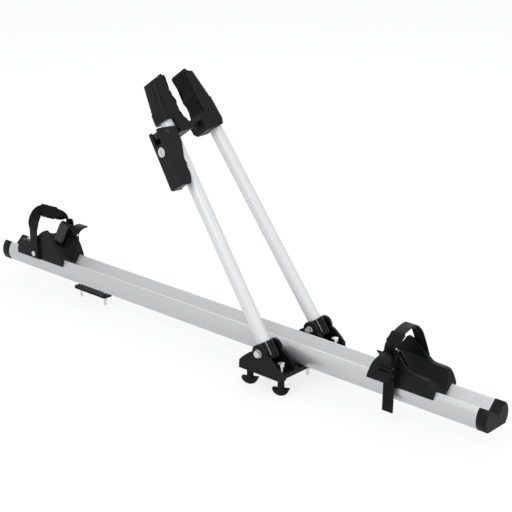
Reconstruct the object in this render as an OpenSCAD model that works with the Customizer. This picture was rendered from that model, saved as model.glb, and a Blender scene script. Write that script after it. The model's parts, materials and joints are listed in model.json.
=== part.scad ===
// Roof mounted bicycle carrier: a grooved rail, a two armed frame clamp and two wheel holders.
// Origin: middle of the seat under the front base. X runs along the rail, Z is up.

/* [Rail] */
// Length of the rail between its end caps
rail_length = 1300; // [1250:10:1500]
// Distance from the left end of the rail to the arm pivot
rail_left = 849; // [820:1:900]
// Height of the rail
rail_height = 41; // [39:0.5:44]
// Radius of the bulging side walls
lobe_radius = 29.4; // [28.5:0.1:30.5]
// Distance of each bulge centre from the middle plane
lobe_offset = 5.7; // [5:0.1:6.5]
// Height of the bulge centres above the underside
lobe_height = 19.2; // [18:0.1:20.5]
// Depth of the wheel groove
groove_depth = 16; // [13:0.5:17]
// Half width of the groove floor
groove_floor_half = 5.5; // [5:0.1:7]
// Width of the ridge along each side of the groove
ridge_land = 2.2; // [1.5:0.1:3]
// Wall thickness of the rail
rail_wall = 2.2; // [1.8:0.1:2.6]
// Width of the bolt slots
slot_width = 6.8; // [6.6:0.1:8]
// Width of the channel behind a bolt slot
channel_width = 11; // [10.6:0.1:13]
// Height of the channel behind a bolt slot
channel_height = 6; // [5.5:0.1:6.5]
// Length of each end cap
cap_length = 22; // [16:1:30]
// Amount by which a cap stands proud of the rail
cap_lip = 0.8; // [0.4:0.1:1.5]
// Length of the plugs on a cap
plug_length = 14; // [8:1:20]

/* [Base] */
// Thickness of the base plate under the rail
base_thickness = 9; // [7:0.5:12]
// Length of the base along the rail
base_length = 104; // [102:1:116]
// Distance of each arm from the middle plane at its pivot
arm_spread = 76.5; // [74:0.5:84]
// Clear width between the two cheeks of an arm seat
cheek_gap = 39; // [38.4:0.1:42]
// Thickness of a cheek
cheek_thickness = 6; // [4:0.5:7]
// Height of the pivot above the underside of the base
pivot_height = 44; // [42:0.5:50]
// Radius of the cheek around the pivot
ear_radius = 17; // [15:0.5:18]
// Distance between the bar bolts along the rail
bar_bolt_spacing = 80; // [76:1:84]
// Distance of the bar bolts from the middle plane
bar_bolt_spread = 82; // [80:0.5:84]
// Radius of the bar bolts
bar_bolt_radius = 4; // [3.5:0.1:4.5]
// Depth of the bosses under the base
boss_depth = 5; // [3:0.5:8]
// Distance between the rail bolts along the rail
rail_bolt_spacing = 76; // [70:1:80]

/* [Knobs] */
// Width of a knob
knob_width = 40; // [36:1:48]
// Thickness of a knob wing
knob_thickness = 11; // [10.4:0.1:14]
// Turn of the knobs as they were left
knob_turn = 27; // [0:1:90]
// Level of the knob bottoms below the seat
foot_level = 37; // [35:0.5:42]

/* [Arms] */
// Lean of the arms from upright, towards the left end
arm_lean = 35.6; // [30:0.1:40]
// Lean of each arm towards the other
arm_tilt = 2.26; // [1.8:0.02:2.6]
// Diameter of the arm tubes
tube_diameter = 27; // [26:0.1:28]
// Wall of the arm tubes
tube_wall = 1.8; // [1.5:0.1:2.5]
// Distance from the pivot to the top of a tube
tube_reach = 518; // [505:1:520]
// Outer diameter of the arm foot
foot_diameter = 35; // [33:0.5:35.5]
// Reach of the arm foot above the pivot
foot_above = 15; // [12:0.5:20]
// Reach of the arm foot below the pivot
foot_below = 20; // [18:0.5:22]
// Radius of the pivot bolts
pivot_radius = 4; // [3.5:0.1:4.4]

/* [Jaws] */
// Distance from the pivot to the clamp rod
rod_reach = 468; // [460:1:475]
// Distance from the pivot to the top of the jaws
jaw_reach = 585; // [575:1:600]
// Width of the jaws across the arm
jaw_width = 42; // [40:0.5:46]
// Distance of the grip roots from the middle plane
grip_root = 31; // [29:0.5:33]
// Thickness of the rubber grips
grip_thickness = 7; // [6.4:0.2:7.6]
// Distance of the lower jaw lips from the middle plane
lip_distance = 14.5; // [13.5:0.1:17]
// Radius of the clamp rod
rod_radius = 4; // [3.5:0.1:4.2]
// Distance of the lever pivot from the middle plane
lever_pivot = 81; // [80.5:0.1:84]
// Radius of the barrel that the lever turns on
barrel_radius = 9; // [8.5:0.1:9.2]
// Wall of the lever
lever_wall = 2.6; // [2:0.1:3.2]
// Length of the lever below its pivot
lever_length = 113; // [105:1:120]
// Height of the lever web over its pivot
lever_depth = 20; // [19:0.2:22]
// Radius of the lock
lock_radius = 9; // [8:0.2:9.6]

/* [Rear clamp] */
// Distance from the pivot to the rear clamp
rear_distance = 595; // [560:1:640]
// Distance between the rear studs
stud_spacing = 80; // [76:1:90]
// Radius of the rear studs
stud_radius = 3; // [2.5:0.1:3.2]
// Length of the rear plate
rear_plate_length = 104; // [100:1:114]
// Width of the rear plate
rear_plate_width = 26; // [22:1:32]
// Thickness of the rear plate
rear_plate_thickness = 5; // [4:0.5:7]
// Gap between the rail and the rear plate
rear_gap = 20; // [16:0.5:22]

/* [Wheel holders] */
// Distance from the pivot to the middle of the left holder
left_holder = 735; // [720:0.5:740]
// Distance from the pivot to the middle of the right holder
right_holder = 284; // [270:0.5:290]
// Length of a wheel holder
holder_length = 158; // [154:1:166]
// Half width of a wheel holder at its skirts
holder_half = 38.5; // [38:0.1:40]
// Level of the skirt bottoms above the rail underside
skirt_level = 29; // [27:0.5:32]
// Height of the cheek peaks above the rail underside
cheek_peak = 103; // [98:0.5:106]
// Height of the low outer part above the rail underside
low_height = 63; // [60:0.5:66]
// Half width of the wheel trough at its floor
trough_floor_half = 7; // [6:0.5:9]
// Level of the trough floor above the rail underside
trough_floor = 37; // [35:0.5:39]
// Half width of the wheel trough at its top
trough_half = 31; // [29:0.5:32]
// Radius of the holder screws
screw_radius = 3; // [2.5:0.1:3.2]

/* [Straps] */
// Width of a strap
strap_width = 24; // [22:0.5:25]
// Thickness of a strap
strap_thickness = 3; // [2.4:0.1:3.2]
// Height of the left strap arch above the rail underside
left_strap_top = 152; // [146:1:158]
// Height of the right strap arch above the rail underside
right_strap_top = 148; // [146:1:158]
// Amount by which the left arch is higher over its anchor
left_strap_skew = 8; // [0:1:10]
// Amount by which the right arch is higher over its anchor
right_strap_skew = 0; // [0:1:10]
// Level of the hanging strap end, measured from the rail underside
tail_level = -20; // [-30:1:0]
// Lean of the left strap arch towards the base
left_strap_lean = 24; // [0:1:26]
// Lean of the right strap arch towards the base
right_strap_lean = 4; // [0:1:20]
// Wall of the rim pad around the strap
pad_wall = 2.4; // [1.6:0.1:3]
// Distance from a holder's middle to its anchor screw
anchor_place = 11; // [9:0.5:14]
// Distance from a holder's middle to its ratchet
ratchet_place = 17; // [15:0.5:19]

/* [Ratchets] */
// Wall of the ratchet frame
ratchet_wall = 2; // [1.6:0.1:2.4]
// Height of the ratchet frame
ratchet_height = 52; // [48:1:56]
// Radius of the ratchet pins
ratchet_pin_radius = 2.4; // [2:0.1:2.8]
// Angle at which the left lever stands open
left_lever_open = 55; // [40:1:60]
// Angle at which the right lever stands open
right_lever_open = 4; // [0:1:10]

/* [Hidden] */

$fn = 48;

// Gap between pieces that move past each other
run_gap = 0.3;
// Radial play of a pin in its hole
pin_play = 0.05;
// Play of a piece that rests on the rail
seat_gap = 0.4;
// Overshoot of a cut past the surface it starts from
cut = 1;

black = "#222324";
rubber = "#1b1b1c";
silver = "#c9cccf";
zinc = "#d8d9da";

rail_right = rail_length - rail_left;
ridge_half = lobe_offset + sqrt(pow(lobe_radius, 2) - pow(rail_height - lobe_height, 2));
groove_top_half = ridge_half - ridge_land;
groove_floor = rail_height - groove_depth;
groove_angle = atan2(groove_depth, groove_top_half - groove_floor_half);
slot_lip = 2.5;
column_half = channel_width / 2 + rail_wall;
plug_gap = 0.25;

cheek_inner = arm_spread - cheek_gap / 2;
cheek_outer = arm_spread + cheek_gap / 2;
base_half = cheek_outer + cheek_thickness;
tube_radius = tube_diameter / 2;
foot_radius = foot_diameter / 2;
hex_ratio = 1 / cos(30);
m8_flat = 13;
m8_head = 5.5;
m8_nut = 6.5;
m6_flat = 10;
m6_nut = 5;
flange_radius = 8.5;
flange_height = 1.5;
boss_radius = 10;

rail_top_level = base_thickness + rail_height;
lower_stud_end = -foot_level;

jaw_bottom = rod_reach - 21;
jaw_face = jaw_width / 2 - 1;
lever_clear = rod_reach + barrel_radius + 14;
tube_slope = tan(arm_tilt);
rod_swing_slot = 4.2;
rod_swing_play = 0.8;
lever_inner_half = tube_radius + 0.9;
lever_outer_half = lever_inner_half + lever_wall;
lever_swing_out = 4.6;
lever_pin_radius = 5;
nut_rim = 0.7;

ratchet_half = strap_width / 2 + 1.2;
ratchet_bottom = cheek_peak - 57;
strap_lift = holder_half + ratchet_wall + run_gap + strap_thickness / 2 + 1.4;
lever_pin_level = ratchet_bottom + 26;
release_pin_level = ratchet_bottom + 13;
ratchet_pin_out = strap_lift + strap_thickness / 2 + 7;

// Lay a flat outline of Y and Z along X
module along_x(start, length) {
    translate([start, 0, 0])
        rotate([90, 0, 90])
            linear_extrude(length)
                children();
}

// Lay a flat outline of X and Z along Y
module along_y(start, length) {
    translate([0, start + length, 0])
        rotate([90, 0, 0])
            linear_extrude(length)
                children();
}

// Cylinder along Y
module rod_y(start, length, radius) {
    translate([0, start + length, 0])
        rotate([90, 0, 0])
            cylinder(h = length, r = radius);
}

// Cylinder along X, centred on the origin
module rod_x(length, radius) {
    rotate([0, 90, 0])
        cylinder(h = length, r = radius, center = true);
}

// Hexagon prism along Z
module hexagon(flat, height) {
    cylinder(h = height, d = flat * hex_ratio, $fn = 6);
}

// Rectangle with round corners, centred
module soft_rectangle(width, height, radius) {
    square([width - 2 * radius, height], center = true);
    square([width, height - 2 * radius], center = true);
    for (x = [-1, 1], y = [-1, 1])
        translate([x * (width / 2 - radius), y * (height / 2 - radius)])
            circle(r = radius);
}

// Place a piece of the near side (-1) from its far side twin (1)
module on_side(side) {
    mirror([0, side < 0 ? 1 : 0, 0])
        children();
}

// Frame of the arms: X across them, Z along them, origin on the pivot axis
module arm_frame() {
    translate([0, 0, pivot_height])
        rotate([0, -arm_lean, 0])
            children();
}

// Frame of one tube of the far side
module tube_frame() {
    translate([0, arm_spread, 0])
        rotate([arm_tilt, 0, 0])
            children();
}

// Frame of a wheel holder: X towards its rail end, Y towards its strap anchor
module holder_frame(side) {
    translate([side < 0 ? -left_holder : right_holder, 0, base_thickness])
        rotate([0, 0, side < 0 ? 180 : 0])
            children();
}

// Points of a smooth curve through given points
function blend(a, b, c, d, t) =
    0.5 * (2 * b + (c - a) * t + (2 * a - 5 * b + 4 * c - d) * t * t + (3 * b - a - 3 * c + d) * t * t * t);
function knot(points, i) = points[max(0, min(len(points) - 1, i))];
function smooth(points, steps) = concat(
    [for (i = [0 : len(points) - 2], k = [0 : steps - 1])
        blend(knot(points, i - 1), points[i], points[i + 1], knot(points, i + 2), k / steps)],
    [points[len(points) - 1]]);
function unit(v) = v / norm(v);

// Flat band swept along a path, its width held near the given direction
module band(path, width, thickness, across) {
    count = len(path);
    rings = [for (i = [0 : count - 1])
        let (ahead = unit(path[min(count - 1, i + 1)] - path[max(0, i - 1)]))
        let (side = unit(across - (across * ahead) * ahead))
        let (up = cross(ahead, side))
        [for (corner = [[-1, -1], [1, -1], [1, 1], [-1, 1]])
            path[i] + side * corner[0] * width / 2 + up * corner[1] * thickness / 2]];
    points = [for (ring = rings, point = ring) point];
    last = 4 * (count - 1);
    sides = [for (i = [0 : count - 2], k = [0 : 3])
        let (a = 4 * i + k, b = 4 * i + (k + 1) % 4)
        each [[a, a + 4, b], [b, a + 4, b + 4]]];
    polyhedron(points, concat(sides, [[0, 1, 2], [0, 2, 3]],
        [[last, last + 2, last + 1], [last, last + 3, last + 2]]));
}

// Rail section

module rail_outline(grow) {
    intersection() {
        union()
            for (side = [-1, 1])
                translate([side * lobe_offset, lobe_height])
                    circle(r = lobe_radius + grow, $fn = 96);
        translate([-ridge_half - lobe_radius, -grow])
            square([2 * (ridge_half + lobe_radius), rail_height + 2 * grow]);
    }
}

module groove_outline(drop) {
    rise = 4 + drop;
    top_half = groove_top_half + rise / tan(groove_angle);
    translate([0, -drop])
        polygon([[-top_half, rail_height + rise], [top_half, rail_height + rise],
            [groove_floor_half, groove_floor], [-groove_floor_half, groove_floor]]);
}

module chamber_outline(inset) {
    difference() {
        intersection() {
            translate([lobe_offset, lobe_height])
                circle(r = lobe_radius - rail_wall - inset, $fn = 96);
            translate([column_half + inset, rail_wall + inset])
                square([lobe_radius + lobe_offset, rail_height]);
        }
        groove_outline((rail_wall + inset) / cos(groove_angle));
    }
}

module slot_outline() {
    translate([-slot_width / 2, -cut])
        square([slot_width, slot_lip + 2 * cut]);
    translate([-channel_width / 2, slot_lip])
        square([channel_width, channel_height]);
}

module rail_section() {
    difference() {
        rail_outline(0);
        groove_outline(0);
        for (side = [0, 1])
            mirror([side, 0])
                chamber_outline(0);
        slot_outline();
        translate([0, groove_floor])
            mirror([0, 1])
                slot_outline();
    }
}

module wheel_rail() {
    color(silver)
        translate([0, 0, base_thickness])
            along_x(-rail_left, rail_length)
                rail_section();
}

module end_cap() {
    along_x(0, cap_length)
        difference() {
            rail_outline(cap_lip);
            groove_outline(0);
        }
    along_x(-plug_length, plug_length + cut)
        for (side = [0, 1])
            mirror([side, 0])
                chamber_outline(plug_gap);
}

module right_end_cap() {
    color(black)
        translate([rail_right, 0, base_thickness])
            end_cap();
}

module left_end_cap() {
    color(black)
        translate([-rail_left, 0, base_thickness])
            mirror([1, 0, 0])
                end_cap();
}

// Base

module cheek_outline() {
    half = base_length / 2;
    flank = [[half, 0], [half - 1, base_thickness + 8], [half - 11, base_thickness + 18],
        [half - 26, pivot_height - 5], [ear_radius - 2, pivot_height]];
    polygon(concat(flank, [for (i = [len(flank) - 1 : -1 : 0]) [-flank[i][0], flank[i][1]]]));
    translate([0, pivot_height])
        circle(r = ear_radius);
}

module bar_bolt_places() {
    for (x = [-1, 1], y = [-1, 1])
        translate([x * bar_bolt_spacing / 2, y * bar_bolt_spread, 0])
            children();
}

module rail_bolt_places() {
    for (x = [-1, 1])
        translate([x * rail_bolt_spacing / 2, 0, 0])
            children();
}

module base_bracket() {
    color(black)
        difference() {
            union() {
                linear_extrude(base_thickness)
                    soft_rectangle(base_length, 2 * base_half, 4);
                for (side = [-1, 1])
                    on_side(side) {
                        along_y(cheek_inner - cheek_thickness, cheek_thickness)
                            cheek_outline();
                        along_y(cheek_outer, cheek_thickness)
                            cheek_outline();
                        along_x(-base_length / 2, base_length)
                            translate([cheek_inner - cheek_thickness, base_thickness])
                                web_outline();
                    }
                bar_bolt_places()
                    translate([0, 0, -boss_depth])
                        cylinder(h = boss_depth + cut, r = boss_radius);
                rail_bolt_places()
                    translate([0, 0, -boss_depth])
                        cylinder(h = boss_depth + cut, r = boss_radius);
            }
            bar_bolt_places()
                translate([0, 0, -boss_depth - cut])
                    cylinder(h = boss_depth + base_thickness + 2 * cut, r = bar_bolt_radius + run_gap);
            rail_bolt_places()
                translate([0, 0, -boss_depth - cut])
                    cylinder(h = boss_depth + base_thickness + 2 * cut, r = stud_radius + run_gap);
            translate([0, 0, pivot_height])
                rod_y(-base_half - cut, 2 * (base_half + cut), pivot_radius + pin_play);
        }
}

// Hollow corner between the inner cheek and the plate
module web_outline() {
    reach = cheek_inner - cheek_thickness - lobe_offset - lobe_radius - 3;
    difference() {
        translate([-reach, -cut])
            square([reach + cut, reach + cut]);
        translate([-reach, reach])
            circle(r = reach);
    }
}

// Bolt with a slim square head in a rail slot, hanging down from the rail
module slot_bolt(lower_end) {
    head = slot_lip + 0.2;
    translate([0, 0, base_thickness + head])
        linear_extrude(4)
            square(channel_width - 0.6, center = true);
    translate([0, 0, lower_end])
        cylinder(h = base_thickness + head + cut - lower_end, r = stud_radius);
}

rail_nut_level = -boss_depth - flange_height;

module rail_bolts() {
    color(zinc)
        rail_bolt_places()
            slot_bolt(rail_nut_level - m6_nut - 12);
}

module rail_nuts() {
    color(zinc)
        rail_bolt_places()
            difference() {
                union() {
                    translate([0, 0, rail_nut_level])
                        cylinder(h = flange_height, r = m6_flat / 2 + 1.5);
                    translate([0, 0, rail_nut_level - m6_nut])
                        hexagon(m6_flat, m6_nut + cut / 2);
                }
                translate([0, 0, rail_nut_level - m6_nut - cut])
                    cylinder(h = m6_nut + flange_height + 2 * cut, r = stud_radius + pin_play);
            }
}

bar_bolt_top = base_thickness + 20;
knob_top = -boss_depth - run_gap;
knob_flat = knob_top - 6;
knob_depth = foot_level + knob_flat;

module bar_bolts() {
    shank_end = knob_flat - 12;
    color(zinc)
        bar_bolt_places() {
            translate([0, 0, shank_end])
                cylinder(h = bar_bolt_top - m8_head - shank_end + cut, r = bar_bolt_radius);
            translate([0, 0, bar_bolt_top - m8_head])
                hexagon(m8_flat, m8_head);
        }
}

// Winged knob with its bore, hanging from the origin
module winged_knob() {
    wing_radius = (pow(knob_width / 2, 2) + pow(knob_depth, 2)) / (2 * knob_depth);
    difference() {
        union() {
            translate([0, 0, knob_flat - knob_depth + 5])
                cylinder(h = knob_top - knob_flat + knob_depth - 5, r = boss_radius - 2);
            along_y(-knob_thickness / 2, knob_thickness)
                intersection() {
                    translate([0, wing_radius - foot_level])
                        circle(r = wing_radius, $fn = 96);
                    translate([-knob_width, -foot_level - cut])
                        square([2 * knob_width, knob_depth + cut]);
                }
        }
        translate([0, 0, knob_flat - 13])
            cylinder(h = knob_top - knob_flat + 13 + cut, r = bar_bolt_radius + pin_play);
    }
}

module knob_at(x, y) {
    color(black)
        translate([x * bar_bolt_spacing / 2, y * bar_bolt_spread, 0])
            rotate([0, 0, knob_turn])
                winged_knob();
}

module near_left_knob() { knob_at(-1, -1); }
module near_right_knob() { knob_at(1, -1); }
module far_left_knob() { knob_at(-1, 1); }
module far_right_knob() { knob_at(1, 1); }

// Arms

pivot_head = base_half + run_gap;
pivot_nut_face = cheek_inner - cheek_thickness - run_gap;
pivot_end = pivot_nut_face - flange_height - m8_nut;

module pivot_bolt(side) {
    color(zinc)
        on_side(side)
            translate([0, 0, pivot_height]) {
                rod_y(pivot_end, pivot_head - pivot_end + cut, pivot_radius);
                rod_y(pivot_head, flange_height, flange_radius);
                translate([0, pivot_head + flange_height - cut / 2, 0])
                    rotate([-90, 0, 0])
                        hexagon(m8_flat, m8_head);
            }
}

module pivot_nut(side) {
    color(zinc)
        on_side(side)
            translate([0, 0, pivot_height])
                difference() {
                    union() {
                        rod_y(pivot_nut_face - flange_height, flange_height, flange_radius);
                        translate([0, pivot_end + nut_rim, 0])
                            rotate([-90, 0, 0])
                                hexagon(m8_flat, m8_nut);
                    }
                    rod_y(pivot_end - cut, m8_nut + flange_height + 2 * cut, pivot_radius + pin_play);
                }
}

module near_pivot_bolt() { pivot_bolt(-1); }
module far_pivot_bolt() { pivot_bolt(1); }
module near_pivot_nut() { pivot_nut(-1); }
module far_pivot_nut() { pivot_nut(1); }

// Split sleeve that grips the lower end of a tube, with ribs beside the split
module arm_foot(side, bolt_play) {
    socket_floor = 4;
    split_turn = side * 33;
    color(black)
        arm_frame()
            on_side(side)
                tube_frame()
                    difference() {
                        union() {
                            translate([0, 0, -foot_below])
                                cylinder(h = foot_below + foot_above, r = foot_radius);
                            for (turn = [-36, -18, 18, 36])
                                rotate([0, 0, -split_turn + turn])
                                    translate([foot_radius - cut, -0.9, 2 - foot_below])
                                        cube([cut + 1, 1.8, foot_below + foot_above - 4]);
                        }
                        translate([0, 0, socket_floor - foot_below])
                            cylinder(h = foot_below + foot_above, r = tube_radius + pin_play);
                        rotate([0, 0, -split_turn])
                            translate([0, -1.2, socket_floor + 3 - foot_below])
                                cube([foot_radius + 3, 2.4, foot_below + foot_above]);
                        rotate([-arm_tilt, 0, 0])
                            rod_y(-foot_diameter, 2 * foot_diameter, pivot_radius + bolt_play);
                    }
}

near_bolt_play = 0.85;

module near_arm_foot() { arm_foot(-1, near_bolt_play); }
module far_arm_foot() { arm_foot(1, pin_play); }

module rod_slot(start, length, radius, rise) {
    for (step = [0, rise])
        translate([0, 0, step])
            rod_y(start, length, radius);
    if (rise > 0)
        translate([-radius, start, 0])
            cube([2 * radius, length, rise]);
}

module arm_tube(side, bolt_play, rod_play, rise) {
    start = 4.2 - foot_below;
    color(silver)
        arm_frame()
            on_side(side)
                difference() {
                    tube_frame()
                        difference() {
                            translate([0, 0, start])
                                cylinder(h = tube_reach - start, r = tube_radius, $fn = 96);
                            translate([0, 0, start - cut])
                                cylinder(h = tube_reach - start + 2 * cut, r = tube_radius - tube_wall, $fn = 96);
                        }
                    rod_y(arm_spread - tube_diameter, 2 * tube_diameter, pivot_radius + bolt_play);
                    translate([0, 0, rod_reach])
                        rod_slot(arm_spread - 2 * tube_diameter, 3 * tube_diameter, rod_radius + rod_play, rise);
                }
}

module near_arm_tube() { arm_tube(-1, near_bolt_play, rod_swing_play, rod_swing_slot); }
module far_arm_tube() { arm_tube(1, pin_play, pin_play, 0); }

// Jaws

jaw_outer_low = arm_spread - tube_slope * rod_reach + tube_radius + 5;
jaw_step = rod_reach + 47;
jaw_set_back = 0.8;
jaw_outer_step = arm_spread - tube_slope * jaw_step + tube_radius + 3.4;
jaw_outer_top = jaw_outer_low - 17;

// Lower half of a jaw across the arms; the near one leaves room for the lever
function jaw_foot_outline(outer_foot) =
    let (inner_foot = arm_spread - tube_slope * rod_reach - 7)
    concat(
        [[lip_distance, rod_reach + 6], [lip_distance, rod_reach - 6], [lip_distance + 8, jaw_bottom + 2]],
        outer_foot < rod_reach
            ? [[inner_foot, jaw_bottom], [jaw_outer_low - 8, jaw_bottom + 3], [jaw_outer_low, outer_foot]]
            : [[inner_foot, jaw_bottom], [inner_foot, outer_foot - 3], [inner_foot + 3, outer_foot],
                [jaw_outer_low - 1, outer_foot]],
        [[jaw_outer_step, jaw_step], [grip_root, jaw_step], [grip_root, rod_reach + 18],
            [lip_distance + 7, rod_reach + 12]]);

// Upper half of a jaw, set back from the lower one
jaw_head_low = [jaw_outer_step - jaw_set_back, jaw_step - 3];
jaw_head_high = [jaw_outer_top, jaw_reach - 8];
jaw_head_outline = [jaw_head_low, jaw_head_high, [jaw_outer_top - 6, jaw_reach], [grip_root + 6, jaw_reach],
    [grip_root, jaw_reach - 6], [grip_root, jaw_step - 3]];

// Outline laid across the arm, its outer corners rounded along the line between two points
module jaw_half(outline, low, high, width) {
    intersection() {
        along_x(-jaw_width / 2 - 1, jaw_width)
            polygon(outline);
        translate([-1, low[0], low[1]])
            rotate([atan2(low[0] - high[0], high[1] - low[1]), 0, 0])
                translate([0, -jaw_width * 1.5, -jaw_width * 1.5])
                    linear_extrude(jaw_reach - jaw_bottom + jaw_width * 1.5)
                        soft_rectangle(width, jaw_width * 3, 11);
    }
}

module jaw_body(outer_foot) {
    jaw_half(jaw_foot_outline(outer_foot), [jaw_outer_low, rod_reach], [jaw_outer_step, jaw_step], jaw_width);
    jaw_half(jaw_head_outline, jaw_head_low, jaw_head_high, jaw_width - 2 * jaw_set_back);
}

module jaw_socket() {
    tube_frame()
        translate([0, 0, jaw_bottom - 20])
            cylinder(h = tube_reach - jaw_bottom + 20.2, r = tube_radius + pin_play, $fn = 96);
}

module near_jaw() {
    color(black)
        arm_frame()
            on_side(-1)
                difference() {
                    jaw_body(lever_clear);
                    jaw_socket();
                    translate([0, 0, rod_reach])
                        rod_slot(0, 2 * arm_spread, rod_radius + rod_swing_play, rod_swing_slot);
                }
}

module far_jaw() {
    color(black)
        arm_frame()
            difference() {
                jaw_body(rod_reach - 3);
                jaw_socket();
                translate([0, 0, rod_reach]) {
                    rod_y(0, 2 * arm_spread, rod_radius + pin_play);
                    rod_y(far_nut_seat, arm_spread, m8_flat * hex_ratio / 2 + 0.6);
                }
            }
}

far_nut_seat = arm_spread - tube_slope * rod_reach + tube_radius + 0.6;

// Rubber grip: a long hollow for the frame tube, a short one below, notches along its front
module jaw_grip() {
    low = rod_reach + 19;
    high = jaw_reach - 9;
    tip = grip_root - grip_thickness;
    long_hollow = smooth([[tip, high], [tip + 3.4, high - 15], [tip + 4.8, high - 34], [tip + 3.4, high - 49],
        [tip + 2, high - 57]], 4);
    short_hollow = smooth([[tip + 4.6, high - 62], [tip + 2.6, high - 70], [tip - 0.6, high - 80], [tip - 1, low]], 4);
    difference() {
        along_x(1 - jaw_face, 2 * jaw_face - 4)
            polygon(concat([[grip_root, low], [grip_root, high]], long_hollow, short_hollow));
        for (i = [0 : 5])
            translate([jaw_face - 5, grip_root - 3, low + 8 + i * 12.5])
                cube([4, 2, 6]);
    }
}

module near_jaw_grip() {
    color(rubber)
        arm_frame()
            on_side(-1)
                jaw_grip();
}

module far_jaw_grip() {
    color(rubber)
        arm_frame()
            jaw_grip();
}

near_nut_face = -lever_pivot - barrel_radius - 2;
rod_near_end = near_nut_face - m8_nut - 1;
rod_far_end = far_nut_seat + m8_nut - 0.5;

module clamp_rod() {
    color(zinc)
        arm_frame()
            translate([0, 0, rod_reach])
                rod_y(rod_near_end, rod_far_end - rod_near_end, rod_radius);
}

module rod_nut(start) {
    translate([0, start, rod_reach])
        rotate([-90, 0, 0])
            difference() {
                hexagon(m8_flat, m8_nut);
                translate([0, 0, -cut])
                    cylinder(h = m8_nut + 2 * cut, r = rod_radius + pin_play);
            }
}

module rod_lock_nut() {
    color(zinc)
        arm_frame()
            rod_nut(lip_distance - m8_nut);
}

module rod_end_nuts() {
    color(zinc)
        arm_frame() {
            rod_nut(far_nut_seat);
            rod_nut(near_nut_face - m8_nut);
        }
}

// Lever frame on the near side: Y outwards from the barrel, Z up along the lever
module lever_frame() {
    arm_frame()
        on_side(-1)
            translate([0, lever_pivot, rod_reach])
                children();
}

module lever_barrel() {
    color(zinc)
        lever_frame()
            difference() {
                union() {
                    rod_x(2 * (lever_inner_half - run_gap), barrel_radius);
                    rod_x(2 * lever_outer_half, lever_pin_radius);
                }
                rod_y(-2 * barrel_radius, 4 * barrel_radius, rod_radius + rod_swing_play);
            }
}

lever_top = 9;
lever_lock = 36;

// Side wall of the lever, its inner edge waved for the fingers
module lever_outline() {
    edge = smooth([[-26, lever_top - 3], [-25, -24], [-17.5, -50], [-14, -62], [-16, -70], [-13, -80],
        [-14.5, -90], [-11, -lever_length + 8], [-6, -lever_length]], 6);
    polygon(concat([[lever_depth, -lever_length + 3], [lever_depth, lever_top], [-23, lever_top]], edge,
        [[lever_depth - 3, -lever_length]]));
}

module clamp_lever() {
    color(black)
        lever_frame()
            rotate([lever_swing_out, 0, 0])
                difference() {
                    union() {
                        difference() {
                            along_x(-lever_outer_half, 2 * lever_outer_half)
                                lever_outline();
                            translate([-lever_inner_half, -50, -lever_length + lever_wall])
                                cube([2 * lever_inner_half, 50 + lever_depth - lever_wall, lever_length + 2 * lever_top]);
                            translate([-lever_inner_half, -50, -lever_length - cut])
                                cube([2 * lever_inner_half, 50, 20]);
                        }
                        translate([0, 0, -lever_lock])
                            rod_y(lever_depth - lever_wall - 8, 8 + cut, lock_radius + 2.5);
                    }
                    translate([-8.5, lever_depth - lever_wall - cut, -20])
                        cube([17, lever_wall + 2 * cut, 40]);
                    rod_x(3 * lever_outer_half, lever_pin_radius + pin_play);
                    translate([0, 0, -lever_lock])
                        rod_y(0, 2 * lever_depth, lock_radius + pin_play);
                }
}

module lock_housing() {
    color(zinc)
        lever_frame()
            rotate([lever_swing_out, 0, 0])
                translate([0, 0, -lever_lock])
                    difference() {
                        union() {
                            rod_y(lever_depth - 14, 14.4, lock_radius);
                            rod_y(lever_depth + 0.1, 0.9, lock_radius + 0.8);
                        }
                        rod_y(lever_depth - 12, 20, lock_radius - 3);
                    }
}

module lock_plug() {
    plug_end = lever_depth + 1.2;
    color(zinc)
        lever_frame()
            rotate([lever_swing_out, 0, 0])
                translate([0, 0, -lever_lock])
                    difference() {
                        rod_y(lever_depth - 11.6, plug_end - lever_depth + 11.6, lock_radius - 3 - pin_play);
                        translate([-0.8, plug_end - 3, -3.2])
                            cube([1.6, 4, 6.4]);
                    }
}

// Rear clamp

module rear_stud_places() {
    for (x = [-1, 1])
        translate([-rear_distance + x * stud_spacing / 2, 0, 0])
            children();
}

module rear_studs() {
    color(zinc)
        rear_stud_places()
            slot_bolt(lower_stud_end);
}

module rear_plate() {
    color(black)
        difference() {
            translate([-rear_distance, 0, base_thickness - rear_gap - rear_plate_thickness])
                linear_extrude(rear_plate_thickness)
                    soft_rectangle(rear_plate_length, rear_plate_width, 6);
            rear_stud_places()
                translate([0, 0, -foot_level])
                    cylinder(h = foot_level + base_thickness, r = stud_radius + pin_play);
        }
}

// Wheel holders

holder_end = holder_length / 2;
peak_place = -26;

// Side outline of the cheek that carries the strap anchor
module anchor_outline() {
    crest = smooth([[holder_end - 4, skirt_level + 11], [holder_end - 9, low_height - 11],
        [holder_end - 15, low_height - 2], [holder_end - 24, low_height + 2], [30, low_height + 3],
        [20, low_height + 7], [5, cheek_peak - 20], [-12, cheek_peak - 6], [peak_place - 2, cheek_peak + 1],
        [peak_place - 9, cheek_peak - 3]], 5);
    polygon(concat([[-holder_end, skirt_level], [holder_end - 4, skirt_level]], crest,
        [[-holder_end, skirt_level + 5]]));
}

// Side outline of the cheek that carries the ratchet
module ratchet_outline() {
    crest = smooth([[holder_end - 4, skirt_level + 12], [holder_end - 9, low_height - 9],
        [holder_end - 19, low_height], [32, low_height + 3], [10, cheek_peak - 26], [3, cheek_peak - 18],
        [-5, cheek_peak - 8], [-19, cheek_peak - 3], [-36, cheek_peak - 11], [-59, cheek_peak - 36],
        [-holder_end + 9, skirt_level + 16], [-holder_end + 4, skirt_level]], 5);
    polygon(concat([[holder_end - 4, skirt_level]], crest));
}

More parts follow.
